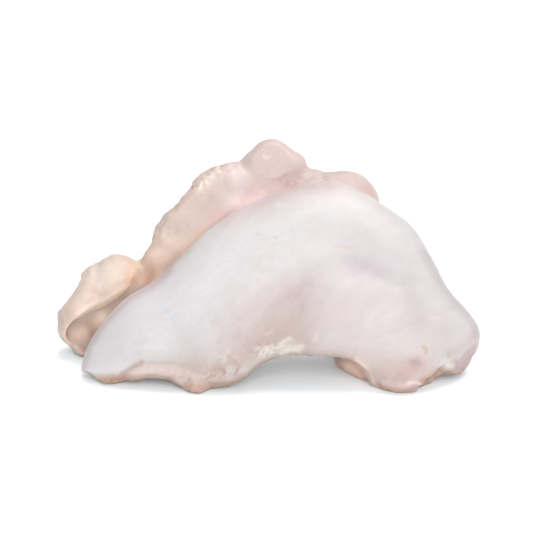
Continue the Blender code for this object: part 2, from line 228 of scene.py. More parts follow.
# The line along which the fold's face breaks off into the lip of its pointed foot, from left to right.
RIM_LINE = ((-31.6, 3.0), (-28.0, 3.4), (-23.8, 3.3), (-20.8, 5.5), (-14.3, 4.7), (-11.4, 4.0), (-7.0, 3.4))

# The edge of the fold over the inner wall of its right foot, from the vault to the floor.
INNER_LINE = ((9.0, 6.6), (11.1, 6.1), (14.1, 5.5), (15.6, 4.3), (16.6, 2.3), (17.0, 0.6))

# The line along which the fold's right end is broken off, from its top to its foot.
END_LINE = ((30.2, 3.0), (31.0, 4.7), (32.2, 6.2), (33.6, 7.8), (35.6, 9.6))

# The ridge's outline, from the gully up to the knob.
RIDGE_OUTLINE = (
    (-21.0, 23.4), (-19.2, 25.4), (-18.6, 28.4), (-16.4, 31.0), (-13.2, 34.4), (-9.4, 37.0), (-5.6, 38.4),
)

# Where a part's mask begins to rise and where it is whole. Facing is the share by which the surface looks at the
# viewer or at the floor, from -1 to 1. The rest are millimetres: past a line of the stone, behind the fold's
# middle, along x, and, with the sign turned, along x to the left or down from a height.
FRONT_FACING = (-0.1, 0.35)
SIDE_FACING = (-0.85, -0.45)
VIEWER_FACING = (0.1, 0.45)
FLOOR_FACING = (0.25, 0.7)
PAST_SEAM = (-0.1, 0.5)
PAST_RIM = (-0.2, 0.3)
PAST_END = (-0.2, 0.5)
PAST_INNER_EDGE = (-0.2, 0.2)
BEHIND_FOLD = (3.0, 5.5)
CRUST_ENDS = (18, 20)
RIM_ENDS = (-9.0, -4.0)
INNER_WALL_BEGINS = (10, 10.8)
INNER_WALL_LEFT_OF = (-17.6, -17.0)
EAR_LEFT_OF = (21, 22)
UNDERSIDE_BELOW = (-9, -5)

# Colours of the parts, as numbers from 0 to 255. The crust turns from peach to rose between two places along
# x.
MILK = (243, 237, 237)
PEACH = (235, 213, 201)
ROSE = (234, 212, 206)
TURNS_ROSE = (-18, -2)
LIP_BEIGE = (232, 213, 205)
UNDERSIDE_BROWN = (206, 176, 160)

# How strongly the colour wavers, and the two noises that it wavers by: their grain, seed and octaves. The
# streaks rise to the right at an angle that changes with x, in degrees; they are this many times as long as
# wide.
MOTTLE = 0.018
MOTTLE_STREAKS = (1.4, 70, 3)
MOTTLE_PATCHES = (5.0, 71, 2)
STREAK_TURN = ((-30.0, -16.0, -3.0, 8.0, 20.0, 34.0), (15.0, 24.0, 42.0, 36.0, 12.0, 8.0))
STREAK_STRETCH = 2.6
STREAK_STEPS = np.linspace(-40, 40, 321)

# Marks of colour: the part they lie on, one place or a line of places (x, z), their reach (along and across,
# or the half width of a line), turn, colour, strength, and the grain of the noise that breaks them up, or 0.
# The noise leaves islands: a share of 0 up to the first number of ISLANDS, and 1 from the second. Its seed is
# the mark's number in the table added to COLOUR_SEED.
ISLANDS = (-0.1, 0.35)
ISLAND_OCTAVES = 2
COLOUR_SEED = 80
COLOUR_MARKS = {
    "cool left face": ("fold", ((-17.0, 14.5),), (11.0, 6.0), 40, (236, 234, 238), 0.6, 0),
    "low middle": ("fold", ((-13.0, 8.0),), (6.0, 3.5), 0, (230, 224, 224), 0.7, 0),
    "knee": ("fold", ((13.0, 13.0),), (7.0, 5.0), 0, (230, 218, 216), 0.7, 0),
    "right foot": ("fold", ((25.0, 10.0),), (7.0, 5.0), 0, (229, 216, 213), 0.75, 0),
    "shadow over the dome edge": (
        "fold", ((10.3, 35.0), (14.5, 33.8), (18.6, 31.4)), (1.2,), 0, (244, 230, 226), 0.5, 0
    ),
    "haze under the crust": (
        "fold", ((-7.1, 29.8), (-3.8, 31.2), (0.8, 33.2), (5.3, 34.6), (10.3, 34.8)),
        (2.0,), 0, (234, 210, 207), 0.7, 0
    ),
    "lilac left rim": (
        "fold", ((-30.8, 4.0), (-29.6, 8.0), (-26.9, 12.1), (-23.3, 15.6), (-19.4, 17.8), (-16.4, 20.4)),
        (0.7,), 0,
        (216, 196, 198), 0.7, 0
    ),
    "rose above the valley": ("fold", ((3.6, 16.4),), (3.4, 2.8), 0, (228, 200, 200), 0.6, 0),
    # Partly the stone's warm beige and brown, partly painted shade in the valley and where the fold turns under
    # over the arch.
    "beige valley": ("fold", ((2.2, 11.4),), (6.5, 4.0), 0, (210, 184, 175), 0.7, 0),
    "brown over the arch": ("fold", ((-1.2, 8.6),), (6.0, 2.4), 20, (196, 168, 156), 0.8, 0),
    "arch rim": (
        "fold",
        ((-5.0, 5.0), (-3.0, 6.6), (-0.5, 7.4), (2.0, 7.6), (5.3, 7.6), (10.3, 7.0), (13.6, 6.0), (16.1, 4.2)),
        (0.9,), 0, (212, 186, 172), 0.6, 0
    ),
    "beige low left": ("fold", ((-12.0, 4.6),), (7.5, 1.8), -4, (218, 198, 188), 0.8, 0),
    "pink low middle": ("fold", ((-6.0, 9.6),), (2.6, 3.0), 0, (230, 214, 212), 0.5, 0),
    "rose lower edge": ("fold", ((8.0, 8.0), (12.0, 7.6), (15.0, 6.4)), (1.8,), 0, (232, 216, 210), 0.6, 0),
    "warm foot": ("fold", ((18.6, 5.2),), (3.0, 3.0), 0, (232, 214, 206), 0.6, 0),
    "rough ground": ("fold", ((-6.4, 5.0),), (4.2, 2.4), 30, (206, 180, 166), 0.65, 0.8),
    "rose middle": ("fold", ((6.0, 17.0), (0.0, 14.0), (-5.0, 10.5)), (3.6,), 0, (222, 202, 200), 0.35, 1.6),
    "warm trails": (
        "fold", ((-19.0, 6.6), (-12.0, 9.0), (-6.5, 14.5), (-1.5, 21.0), (4.0, 24.0)), (2.4,), 0,
        (224, 208, 205), 0.25, 2.2
    ),
    "white clouds": (
        "fold", ((-22.0, 7.6), (-17.0, 11.0), (-12.5, 15.5), (-8.5, 21.0), (-4.0, 25.0)), (3.4,), 0,
        (255, 255, 255), 0.16, 1.6
    ),
    "chip ground": ("fold", ((0.6, 8.6), (3.2, 9.6), (6.4, 8.6)), (1.3,), 0, (212, 192, 180), 0.8, 0),
    # Partly the stone's lavender, partly painted shade in the valley above the knee.
    "lavender knee": ("fold", ((16.1, 20.7),), (3.4, 1.8), -10, (226, 214, 226), 0.7, 0),
    "broken pink face": ("fold", ((21.8, 3.4),), (5.2, 2.6), 8, (220, 188, 180), 0.85, 0),
    "pink notch": ("fold", ((24.2, 5.2),), (1.6, 1.2), 20, (208, 172, 168), 0.75, 0),
    "first yellow crack": (
        "fold", ((25.5, 7.9), (26.0, 7.5), (25.9, 6.8)), (0.3,), 0, (216, 180, 146), 0.75, 0
    ),
    "second yellow crack": ("fold", ((29.7, 6.9), (29.8, 6.2)), (0.28,), 0, (216, 184, 150), 0.55, 0),
    "brown under edge": (
        "front", ((25.4, 2.2), (26.8, 2.9), (28.2, 3.8), (30.0, 3.7)), (0.75,), 0, (206, 164, 136), 0.8, 0
    ),
    "red right end": ("end", ((34.0, 6.0),), (5.0, 4.4), 0, (213, 182, 180), 0.9, 0),
    # Partly the stone's pink, partly painted shade where the right side turns away.
    "pink right edge": (
        "fold", ((35.0, 9.6), (34.0, 12.7), (31.5, 15.2), (28.9, 18.8), (26.4, 23.6)), (1.0,), 0,
        (226, 208, 208), 0.5, 0
    ),
    "white corner chip": ("fold", ((29.6, 4.7),), (0.9, 0.7), 20, (252, 248, 244), 0.95, 0),
    "cream spot": ("fold", ((20.4, 17.6), (21.4, 17.4)), (0.5,), 0, (252, 244, 236), 0.9, 0.35),
    "salmon streak": ("fold", ((12.8, 24.4),), (1.8, 0.35), -8, (238, 206, 196), 0.5, 0),
    "chip ring": (
        "fold", ((0.4, 7.0), (1.9, 6.9), (3.0, 7.3), (3.8, 7.7), (4.8, 7.1), (5.3, 8.1), (4.8, 9.0)),
        (0.6,), 0, (252, 246, 238), 0.85, 1.3
    ),
    "chip crumbs": (
        "fold", ((-1.4, 7.1), (0.6, 7.4), (2.0, 8.0), (3.4, 8.4)), (0.9,), 0, (252, 246, 238), 0.9, 0.6
    ),
    "chip top": ("fold", ((2.5, 8.8), (3.5, 9.3)), (0.35,), 0, (255, 250, 240), 0.8, 0),
    "small chip": ("fold", ((7.7, 9.0), (8.0, 9.9)), (0.32,), 0, (246, 234, 226), 0.75, 0),
    "pale scratch": ("fold", ((-0.7, 9.9), (0.8, 10.6)), (0.2,), 0, (236, 220, 212), 0.5, 0),
    "yellow fleck": ("fold", ((5.6, 14.4),), (0.3, 0.8), 0, (214, 192, 160), 0.6, 0),
    "left pit": ("fold", ((-1.8, 26.4),), (0.35, 0.22), 0, (214, 186, 184), 0.5, 0),
    "right pit": ("fold", ((1.0, 25.9),), (0.32, 0.22), 0, (220, 196, 192), 0.45, 0),
    "white speck": ("fold", ((1.7, 31.5),), (0.25, 0.4), 0, (255, 252, 250), 0.9, 0),
    "brown grit": (
        "fold", ((-9.8, 3.2), (-7.8, 3.7), (-5.2, 4.2), (-4.4, 3.2)), (0.8,), 0, (190, 152, 128), 0.7, 0.35
    ),
    # Painted light: the glow of light through the thin ear, over its crown and along its right rim.
    "ear glow": ("crust front", ((-25.4, 19.2),), (2.6, 2.6), 0, (255, 238, 218), 0.9, 0),
    "glow on the ear's right rim": (
        "crust front", ((-22.4, 22.0), (-22.3, 20.4), (-23.0, 18.8)), (0.8,), 0, (252, 216, 184), 0.8, 0
    ),
    "ear left wall": ("crust front", ((-28.6, 20.2),), (2.2, 2.6), 0, (246, 230, 220), 0.7, 0),
    "ear patch": (
        "crust front", ((-31.3, 15.0), (-29.9, 16.4), (-28.6, 15.9)), (1.0,), 0, (252, 230, 216), 0.9, 0
    ),
    # Painted shade: a darker line in the crease between the ear's crown and its patch.
    "shade in the ear's crease": (
        "crust front", ((-29.2, 17.6), (-28.0, 16.6), (-27.2, 16.0)), (0.4,), 0, (222, 196, 182), 0.7, 0
    ),
    "ear streaks": ("crust front", ((-34.2, 12.4), (-33.6, 9.6)), (1.3,), 0, (212, 186, 172), 0.6, 0.5),
    "pocket": (
        "crust front", ((-31.6, 9.6), (-29.0, 11.6), (-26.2, 13.4), (-23.8, 15.6)),
        (2.4,), 0, (255, 226, 207), 0.9, 0
    ),
    "pocket heel": (
        "crust front", ((-33.0, 8.8), (-32.0, 8.0), (-30.8, 7.0)), (0.7,), 0, (250, 228, 210), 0.8, 0
    ),
    # Painted light: a bright line along the ear's rim, carried onto the underside of the rim.
    "ear rim": (
        "crust",
        (
            (-21.9, 21.9), (-22.2, 20.0), (-23.0, 18.0), (-25.0, 16.7), (-27.2, 15.5), (-29.9, 13.9),
            (-31.4, 12.7)
        ),
        (0.5,), 0, (255, 234, 214), 0.9, 0
    ),
    "gully": ("crust front", ((-20.2, 20.2),), (2.0, 3.4), -40, (220, 180, 156), 0.7, 0),
    # Partly the crust's own orange, partly painted shade in the crease where the crust meets the fold.
    "orange seam": (
        "crust front", ((-20.0, 18.4), (-16.4, 21.2), (-10.8, 26.8), (-7.1, 29.6)),
        (1.3,), 0, (226, 188, 166), 0.7, 0
    ),
    "toe brown": ("front", ((-12.0, 1.0),), (3.4, 1.3), 0, (214, 178, 160), 0.9, 0),
    "left toe brown": ("front", ((-25.4, 2.4),), (4.0, 0.9), 0, (206, 168, 146), 0.9, 0),
    # Painted shade: dark brown on the stone between the toes, where it hangs over the floor.
    "shade painted between the toes": ("front", ((-21.4, 2.0), (-16.4, 2.2)), (0.7,), 0, (176, 146, 130), 0.8, 0),
    "lip shadow": ("front", ((-24.2, 3.4), (-20.9, 5.4)), (0.5,), 0, (200, 172, 162), 0.7, 0),
    "inner wall": ("inner wall", ((14.5, 3.6),), (6.0, 5.0), 0, (212, 178, 160), 1.0, 0),
    "brown along the inner edge": (
        "inner wall", ((12.0, 6.0), (13.8, 5.8), (15.4, 4.5), (16.6, 2.6), (17.0, 1.4)),
        (0.9,), 0, (178, 138, 118), 0.9, 0
    ),
    "inner wall streaks": ("inner wall", ((11.4, 5.0), (13.2, 3.4)), (0.9,), 0, (228, 198, 184), 0.6, 0.7),
    "rosy seam": (
        "crust front", ((-9.0, 28.4), (-3.8, 31.6), (0.8, 33.6), (5.0, 35.2)),
        (1.7,), 0, (230, 198, 194), 0.7, 0
    ),
    "ridge stain": ("crust front", ((-18.4, 25.4), (-15.4, 27.6)), (1.2,), 0, (214, 184, 170), 0.4, 0.5),
    "cream blob": ("crust front", ((-10.8, 35.0),), (1.7, 1.0), 40, (255, 242, 228), 0.9, 0),
    "chalky top": (
        "crust front", ((-9.6, 36.4), (-7.4, 37.6), (-5.0, 37.4)), (1.1,), 0, (255, 250, 244), 0.7, 0.35
    ),
    "lilac top": ("crust front", ((-4.8, 36.0),), (1.2, 1.2), 0, (240, 224, 228), 0.7, 0),
    "cream low top": ("crust front", ((-6.0, 32.6),), (1.6, 1.6), 0, (255, 236, 228), 0.7, 0),
    "top grit": ("crust front", ((-13.0, 32.6), (-8.6, 34.6)), (0.7,), 0, (206, 174, 162), 0.25, 0.4),
    "knob glint": (
        "crust front", ((-0.7, 39.6), (-0.3, 39.2), (0.3, 39.5)), (0.25,), 0, (252, 244, 232), 0.8, 0
    ),
    "dome flush": ("crust front", ((17.0, 33.0),), (2.0, 3.0), 0, (232, 194, 182), 0.6, 0),
    "foot edge": (
        "fold", ((17.2, 1.6), (19.6, 0.9), (22.4, 0.4), (23.8, 0.3)), (0.7,), 0, (222, 184, 164), 0.8, 0
    ),
    "corner facet": ("front", ((24.2, 1.2),), (0.9, 0.9), 0, (218, 180, 174), 0.8, 0),
    "light line over the facet": (
        "front", ((23.0, 1.9), (24.2, 2.1), (25.0, 1.7)), (0.28,), 0, (246, 230, 220), 0.7, 0
    ),
    "orange stain": ("fold", ((26.6, 3.6),), (1.5, 0.7), 25, (228, 196, 166), 0.7, 0.6),
    "cream under the crack": ("fold", ((26.6, 6.0),), (1.4, 1.1), -30, (240, 226, 212), 0.5, 0.8),
    "pink foot patches": ("fold", ((31.2, 5.4), (32.0, 4.4)), (1.2,), 0, (214, 180, 176), 0.8, 0.9),
    "rose speck": ("fold", ((14.2, 7.4),), (0.45, 0.3), 0, (232, 206, 190), 0.8, 0),
    "inner edge light": (
        "front", ((14.4, 5.9), (15.9, 4.7), (16.9, 2.8), (17.3, 1.4)), (0.3,), 0, (244, 226, 216), 0.6, 0
    ),
    "pocket patch": ("crust front", ((-27.6, 12.8),), (0.9, 1.2), 30, (255, 238, 222), 0.8, 0),
    "pocket brown": ("crust front", ((-30.0, 11.4), (-28.8, 9.0)), (1.0,), 0, (216, 182, 164), 0.8, 0),
    # Painted shade: darker in the deep corner of the ear's pocket.
    "shade in the pocket's corner": ("crust front", ((-26.6, 11.2), (-25.4, 12.6)), (0.5,), 0, (190, 152, 136), 0.6, 0),
    "ridge outline": ("crust", RIDGE_OUTLINE, (0.6,), 0, (206, 180, 168), 0.5, 0.4),
    "ridge grey": ("crust front", ((-14.6, 27.4), (-11.0, 31.6)), (1.6,), 0, (226, 206, 204), 0.6, 1.4),
    "swirl": ("fold", ((16.1, 11.4), (17.0, 13.9), (19.0, 15.2)), (0.7,), 0, (246, 240, 238), 0.45, 0),
    "second swirl": ("fold", ((19.0, 12.3), (21.9, 14.4)), (0.6,), 0, (246, 240, 238), 0.4, 0),
    "upper flow line": (
        "fold", ((16.9, 9.2), (21.0, 10.6), (25.6, 10.4)), (0.4,), 0, (218, 204, 200), 0.25, 1.2
    ),
    "lower flow line": (
        "fold", ((17.6, 8.0), (21.5, 8.9), (24.6, 8.7)), (0.4,), 0, (218, 204, 200), 0.2, 1.2
    ),
    "pink by the end": ("fold", ((30.6, 6.8), (32.6, 8.0), (34.4, 9.6)), (1.2,), 0, (218, 194, 192), 0.5, 0),
    # Partly the stone's pink, partly painted shade where the right side turns away.
    "red edge of the right side": (
        "fold", ((35.6, 8.4), (35.0, 11.8), (32.4, 14.8), (30.0, 17.6), (27.4, 22.2), (24.4, 27.2)),
        (0.35,), 0,
        (210, 184, 180), 0.5, 0.6
    ),
    "pink drop": ("front", ((3.9, 34.7),), (0.75, 0.5), 0, (232, 168, 172), 0.8, 0),
    "glint on the drop": ("front", ((3.9, 34.85),), (0.26, 0.2), 0, (255, 250, 250), 1.0, 0),
    "ear yellow": ("crust front", ((-27.0, 18.0), (-29.6, 14.6)), (2.6,), 0, (238, 218, 210), 0.35, 0),
    "beige edge over the inner wall": (
        "front", ((12.4, 6.6), (14.6, 6.1), (16.2, 4.7), (17.2, 2.8), (17.7, 1.4)),
        (0.5,), 0, (238, 210, 196), 0.75, 0
    ),
    "white specks": (
        "fold", ((-22.0, 7.6), (-17.0, 11.0), (-12.5, 15.5), (-8.5, 21.0), (-4.0, 25.0), (3.0, 26.0)),
        (3.0,), 0,
        (255, 255, 255), 0.22, 0.28
    ),
    "chip haze": ("fold", ((1.0, 7.4), (3.0, 7.8), (4.8, 8.0)), (1.0,), 0, (242, 232, 222), 0.55, 0),
    "lip line": ("front", ((-21.8, 3.3), (-16.4, 3.4), (-12.8, 2.5)), (0.28,), 0, (202, 168, 154), 0.5, 0.8),
    "lip cream streak": (
        "front", ((-20.6, 4.9), (-17.0, 4.9), (-13.4, 4.2)), (0.35,), 0, (240, 222, 212), 0.5, 0.7
    ),
    "rose veil": ("fold", ((14.0, 16.0),), (16.0, 12.0), 30, (226, 206, 204), 0.22, 0),
}

# Painted light and painted shade: marks that lighten the surface or darken it to stand for light and shade,
# where the stone lets more light through or less, and where its swells, hollows and edges are to show more
# strongly, or more softly, than this light shows them. Part, places, reach and turn are as above; the last
# number is the share by which the colour changes.
PAINTED_LIGHT_AND_SHADE_MARKS = {
    "thin ear": ("crust front", ((-30.0, 15.0), (-27.5, 18.5)), (3.0,), 0, 0.17),
    "pocket": ("crust front", ((-32.0, 9.5), (-29.5, 11.6), (-25.0, 14.6)), (1.8,), 0, 0.26),
    "under the ear rim": (
        "ear ceiling",
        ((-32.0, 11.0), (-30.4, 12.9), (-28.4, 13.9), (-26.2, 15.0), (-24.0, 16.5), (-22.8, 18.4)),
        (1.0,), 0, 0.9
    ),
    "gully": ("crust front", ((-20.4, 20.4),), (2.0, 2.8), -40, 0.25),
    "low ridge": ("crust front", ((-18.8, 23.8), (-17.2, 25.4)), (2.2,), 0, 0.24),
    "band over the fold": ("crust front", ((-14.0, 24.4), (-7.0, 30.4), (1.0, 34.0)), (1.5,), 0, 0.19),
    "lip": ("rim", ((-18.0, 3.4),), (8.0, 2.0), 0, 0.10),
    "right edge": (
        "fold", ((35.2, 9.6), (34.0, 12.7), (31.5, 15.4), (28.9, 19.0), (26.4, 23.8)), (1.5,), 0, -0.13
    ),
    "right slope": ("fold", ((31.0, 10.0), (26.0, 19.0), (20.0, 27.0)), (6.0,), 0, -0.07),
    "pocket patch": ("crust front", ((-27.7, 12.7),), (0.9, 1.1), 30, 0.22),
    "pocket hollow": ("crust front", ((-30.0, 11.2), (-28.8, 9.2)), (0.9,), 0, -0.05),
    "top ridge": ("crust front", ((-11.8, 33.6), (-6.5, 36.4)), (1.8,), 0, 0.13),
    "left of the middle": ("fold", ((-9.0, 21.0),), (9.0, 5.0), 45, 0.05),
    "inner wall": ("inner wall", ((14.0, 3.6),), (6.0, 5.0), 0, 0.66),
    "left lip": ("front", ((-18.0, 3.0),), (10.0, 1.2), 0, 0.06),
    "shoulder": ("fold", ((14.0, 28.0),), (6.0, 4.0), 0, -0.05),
    "left of the knob": ("crust front", ((-3.6, 36.8),), (1.2, 1.8), 0, 0.06),
    "dome": ("crust front", ((13.6, 34.4),), (3.2, 2.0), 0, -0.03),
    "below the ear rim": (
        "crust front", ((-31.6, 11.2), (-30.0, 12.4), (-27.6, 13.2), (-25.2, 14.4), (-23.4, 15.8)),
        (0.6,), 0, -0.10
    ),
    "bright ear rim": (
        "crust front",
        ((-31.6, 13.4), (-30.0, 14.5), (-27.4, 15.8), (-25.2, 16.9), (-23.3, 18.3), (-22.4, 20.4)),
        (0.42,), 0, 0.2
    ),
    "edge over the inner wall": (
        "front", ((14.6, 5.9), (16.1, 4.5), (17.1, 2.7), (17.6, 1.4)), (0.5,), 0, 0.22
    ),
    "dome edge": ("fold", ((12.0, 33.6), (16.0, 31.8)), (1.6,), 0, 0.06),
    "upper middle of the ridge": ("crust front", ((-13.2, 29.8),), (2.0, 1.8), 0, 0.12),
    "right of the knob": ("crust front", ((4.4, 37.2),), (1.4, 1.8), 0, -0.04),
    "valley around the knee": (
        "fold",
        ((-4.1, 10.1), (0.9, 14.4), (7.0, 19.5), (11.9, 22.4), (17.5, 21.7), (22.5, 18.4), (24.7, 14.5)),
        (1.5,), 0, -0.055
    ),
    "swell over the valley": (
        "fold", ((-8.0, 14.4), (-3.0, 18.4), (4.2, 21.9), (9.7, 24.4), (15.0, 24.6)), (1.5,), 0, 0.03
    ),
}

# Marks of relief: part, places, reach and turn as above, height, and the grain of the noise that roughens it,
# or 0. Its seed is the mark's number in the table added to RELIEF_SEED.
RELIEF_SEED = 40
RELIEF_MARKS = {
    "lip groove": ("front", ((-23.8, 3.3), (-20.8, 5.5), (-14.3, 4.9), (-11.4, 4.1)), (0.45,), 0, -0.22, 0),
    "chip hollow": ("fold", ((2.6, 8.0),), (3.2, 1.4), 8, -0.35, 0),
    "chip crystals": ("fold", ((0.0, 7.1), (3.0, 7.3), (4.9, 7.8), (4.8, 9.0)), (0.6,), 0, 0.2, 0.6),
    "right crease": ("fold", ((22.7, 11.8), (26.0, 12.6), (28.4, 13.2), (30.5, 14.2)), (0.35,), 0, -0.07, 0),
    "upper right valley": ("fold", ((5.5, 17.5), (15.8, 20.0), (24.0, 17.5)), (1.2,), 0, -0.2, 0),
    "broken face": ("fold", ((21.6, 3.6),), (4.2, 2.0), 8, -0.45, 0),
    "notch": ("fold", ((24.7, 4.8),), (1.2, 1.0), 20, -0.3, 0),
    "heel ledge": ("fold", ((22.8, 2.0), (24.2, 2.2), (25.6, 2.0)), (0.45,), 0, 0.35, 0),
    "corner chip": ("fold", ((29.6, 4.7),), (0.9, 0.7), 20, 0.25, 0),
    "corner hole": ("fold", ((28.2, 4.1),), (0.35, 0.3), 0, -0.3, 0),
    "right end roughness": ("fold", ((27.5, 5.5),), (4.0, 2.6), 0, 0.12, 0.9),
    "brown grit": ("fold", ((-9.8, 3.0), (-7.8, 3.5), (-5.2, 4.0), (-4.4, 3.0)), (0.9,), 0, 0.2, 0.5),
    "left pit": ("fold", ((-1.8, 26.4),), (0.35, 0.3), 0, -0.1, 0),
    "right pit": ("fold", ((1.0, 25.9),), (0.35, 0.3), 0, -0.1, 0),
    "ridge top": ("crust front", ((-13.0, 34.0), (-9.0, 36.8), (-5.5, 38.0)), (1.6,), 0, 0.2, 0.45),
    "gully": ("crust front", ((-20.2, 20.4),), (1.5, 3.2), -40, -0.6, 0),
    "ridge and knob crease": ("crust front", ((-4.6, 38.2), (-3.0, 36.6), (-2.2, 35.4)), (0.5,), 0, -0.2, 0),
    "seam wrinkles": ("front", ((-2.0, 33.4), (3.0, 35.0), (9.0, 35.4)), (1.4,), 0, 0.16, 0.9),
    "ear crease": ("crust front", ((-28.4, 21.8), (-28.6, 19.0), (-28.8, 16.6)), (0.6,), 0, -0.15, 0),
    "ridge outline": ("crust", RIDGE_OUTLINE, (1.0,), 0, 0.2, 0.7),
    "ear outline": (
        "crust", ((-35.0, 11.4), (-34.9, 13.0), (-32.7, 15.9), (-31.1, 18.6), (-29.2, 21.0), (-26.4, 22.6)),
        (0.8,), 0, 0.16, 0.9
    ),
    "toe texture": ("front", ((-27.0, 2.4), (-22.6, 2.6)), (1.0,), 0, 0.22, 0.6),
    "front toe texture": ("front", ((-13.4, 1.6), (-10.6, 0.8)), (1.2,), 0, 0.22, 0.6),
    "inner edge": ("front", ((14.4, 5.9), (15.9, 4.7), (16.9, 2.8), (17.3, 1.4)), (0.45,), 0, 0.22, 0),
    "foot streaks": ("fold", ((18.0, 2.4), (22.0, 1.4)), (1.2,), 0, 0.12, 0.6),
    "crest and dome crease": ("crust", ((9.3, 36.8), (9.5, 35.8), (10.2, 34.6)), (0.5,), 0, -0.45, 0),
    "lip ridges": ("front", ((-20.0, 4.4), (-14.5, 3.8), (-10.5, 2.8)), (1.0,), 0, 0.16, 0.7),
}

# Noises that move the surface: their height, grain, seed and octaves, on the fold, on the crust and where it
# is broken.
FOLD_NOISES = ((0.10, 7.0, 1, 2), (0.03, 1.6, 2, 2))
CRUST_NOISES = ((0.16, 3.6, 3, 2), (0.04, 1.0, 4, 2))
BROKEN_NOISES = ((0.2, 1.8, 5, 3),)

# How coarse the finish is, from 0 to 1: over all of the stone, and what some parts add to that.
GRAIN = 0.15
PART_GRAIN = {"crust": 0.2, "rim": 0.6, "under": 0.6}

# Noises that the colour is multiplied by: read along the streaks or at the place, their scale (to the
# millimetre along the streaks, to the metre at the place), detail, and the shares that their darkest and
# lightest parts come to. The first also sets how light the stone is as a whole. A noise counts as darkest and
# as lightest at the ends of its span.
COLOUR_NOISES = (
    ("streaks", 0.5, 6, 0.515, 0.540),
    ("streaks", 2.2, 4, 0.988, 1.012),
    ("place", 1900, 4, 0.985, 1.02),
)
NOISE_SPAN = (0.3, 0.7)

# Bumps too fine for the mesh: two noises, each by scale (to the metre) and detail, with their strength and
# height in metres. The fine one follows the grain.
FINE_BUMPS = (1600, 3)
COARSE_BUMPS = (350, 4)
BUMP_STRENGTH = 0.35
BUMP_HEIGHT = 0.0003

# Finish: roughness where the grain is 0 and where it is 1, the share of light that scatters inside, how far
# red, green and blue go, on a scale in metres, and how the surface mirrors.
ROUGHNESS = (0.34, 0.8)
SCATTER = 0.8
SCATTER_REACH = (1.0, 0.55, 0.42)
SCATTER_SCALE = 0.0016
REFRACTION = 1.54
MIRRORING = 0.3

# Camera: what it looks at (x, z, depth) in millimetres, how far off it is and how wide its picture is there,
# the width of its sensor in millimetres, and the nearest and farthest that it sees, in metres.
VIEW_TARGET = (-0.25, 21.14, 8.0)
VIEW_DISTANCE = 0.9
VIEW_WIDTH = 0.0884
SENSOR_WIDTH = 36
VIEW_RANGE = (0.05, 20)

# Table: how far it reaches to each side, its colour, its roughness, the scale of the noise in that, and its
# glow.
FLOOR_REACH = 3000
FLOOR_COLOUR = (0.88, 0.95, 0.99, 1)
FLOOR_ROUGHNESS = (0.5, 0.7)
FLOOR_NOISE = 60
FLOOR_GLOW = 0.05

# The white all around, by its strength.
WORLD_STRENGTH = 0.78

# Softboxes: name, place and size in metres, watts and colour.
SOFTBOXES = (
    ("front", (0.2, -1.05, 0.5), 1.0, 12, (1.0, 1.0, 1.0)),
    ("top", (0.3, 0.3, 1.15), 1.0, 11.5, (1.0, 1.0, 1.0)),
)


def curve_through(knots, count):
    """Catmull-Rom curve through the rows of knots, read at count evenly spaced steps."""
    knots = np.asarray(knots, float)
    padded = np.vstack([2 * knots[0] - knots[1], knots, 2 * knots[-1] - knots[-2]])
    steps = np.linspace(0, len(knots) - 1, count)
    first = np.minimum(steps.astype(int), len(knots) - 2)
    t = (steps - first)[:, None]
    a, b, c, d = (padded[first + k] for k in range(4))
    return 0.5 * (2 * b + (c - a) * t + (2 * a - 5 * b + 4 * c - d) * t**2 + (3 * b - a - 3 * c + d) * t**3)


def bump_at(x, z, place, reach, turn):
    """A turned Gaussian: 1 at its place, falling with the square of the distance over its reach."""
    c, s = math.cos(math.radians(turn)), math.sin(math.radians(turn))
    along = ((x - place[0]) * c + (z - place[1]) * s) / reach[0]
    across = ((z - place[1]) * c - (x - place[0]) * s) / reach[1]
    return np.exp(-(along**2 + across**2))


def relief_at(x, z, swells):
    """How far a sheet's front stands out: a sum of turned Gaussians."""
    height = np.zeros_like(x)
    for place, reach, turn, rise in swells:
        height += rise * bump_at(x, z, place, reach, turn)
    return height


def sheet_grid(stations, swells, ring_count, side_count):
    """Grid (station along the sheet, angle around it) of x, z, depth.

    At an angle a, a point lies between its station's edges by the superellipse's cos a, and stands before or
    behind them by its sin a times the front or the back swell. Both are raised to 2 / fullness.
    """
    stations = curve_through(stations, ring_count)[:, None, :]
    angle = np.linspace(0, 2 * math.pi, side_count, endpoint=False)[None, :]
    power = 2 / SHEET_FULLNESS
    across = np.sign(np.cos(angle)) * np.abs(np.cos(angle)) ** power
    outward = np.sign(np.sin(angle)) * np.abs(np.sin(angle)) ** power
    upper, lower = stations[..., 0:2], stations[..., 2:4]
    plane = (upper + lower) / 2 + (upper - lower) / 2 * across[..., None]
    upper_depth, lower_depth, front_swell, back_swell = (stations[..., k] for k in range(4, 8))
    edge_depth = (upper_depth + lower_depth) / 2 + (upper_depth - lower_depth) / 2 * across
    relief = relief_at(plane[..., 0], plane[..., 1], swells) * np.minimum(front_swell / FULL_RELIEF_SWELL, 1)
    forward, backward = np.maximum(outward, 0), np.maximum(-outward, 0)
    depth = edge_depth - (front_swell + relief) * forward + back_swell * backward
    return np.concatenate([plane, depth[..., None]], axis=2)


def lobe_grid(place, half_sizes, turn):
    """Grid (latitude, longitude) of a stretched ball, turned in the drawing plane and moved to its place."""
    latitude = np.linspace(-math.pi / 2, math.pi / 2, LOBE_RINGS + 2)[1:-1, None]
    longitude = -np.linspace(0, 2 * math.pi, LOBE_SIDES, endpoint=False)[None, :]
    along = half_sizes[0] * np.cos(latitude) * np.cos(longitude)
    across = half_sizes[1] * np.cos(latitude) * np.sin(longitude)
    depth = half_sizes[2] * np.sin(latitude) * np.ones_like(longitude)
    c, s = math.cos(math.radians(turn)), math.sin(math.radians(turn))
    x = place[0] + along * c - across * s
    z = place[1] + along * s + across * c
    return np.stack([x, z, place[2] + depth], axis=2)


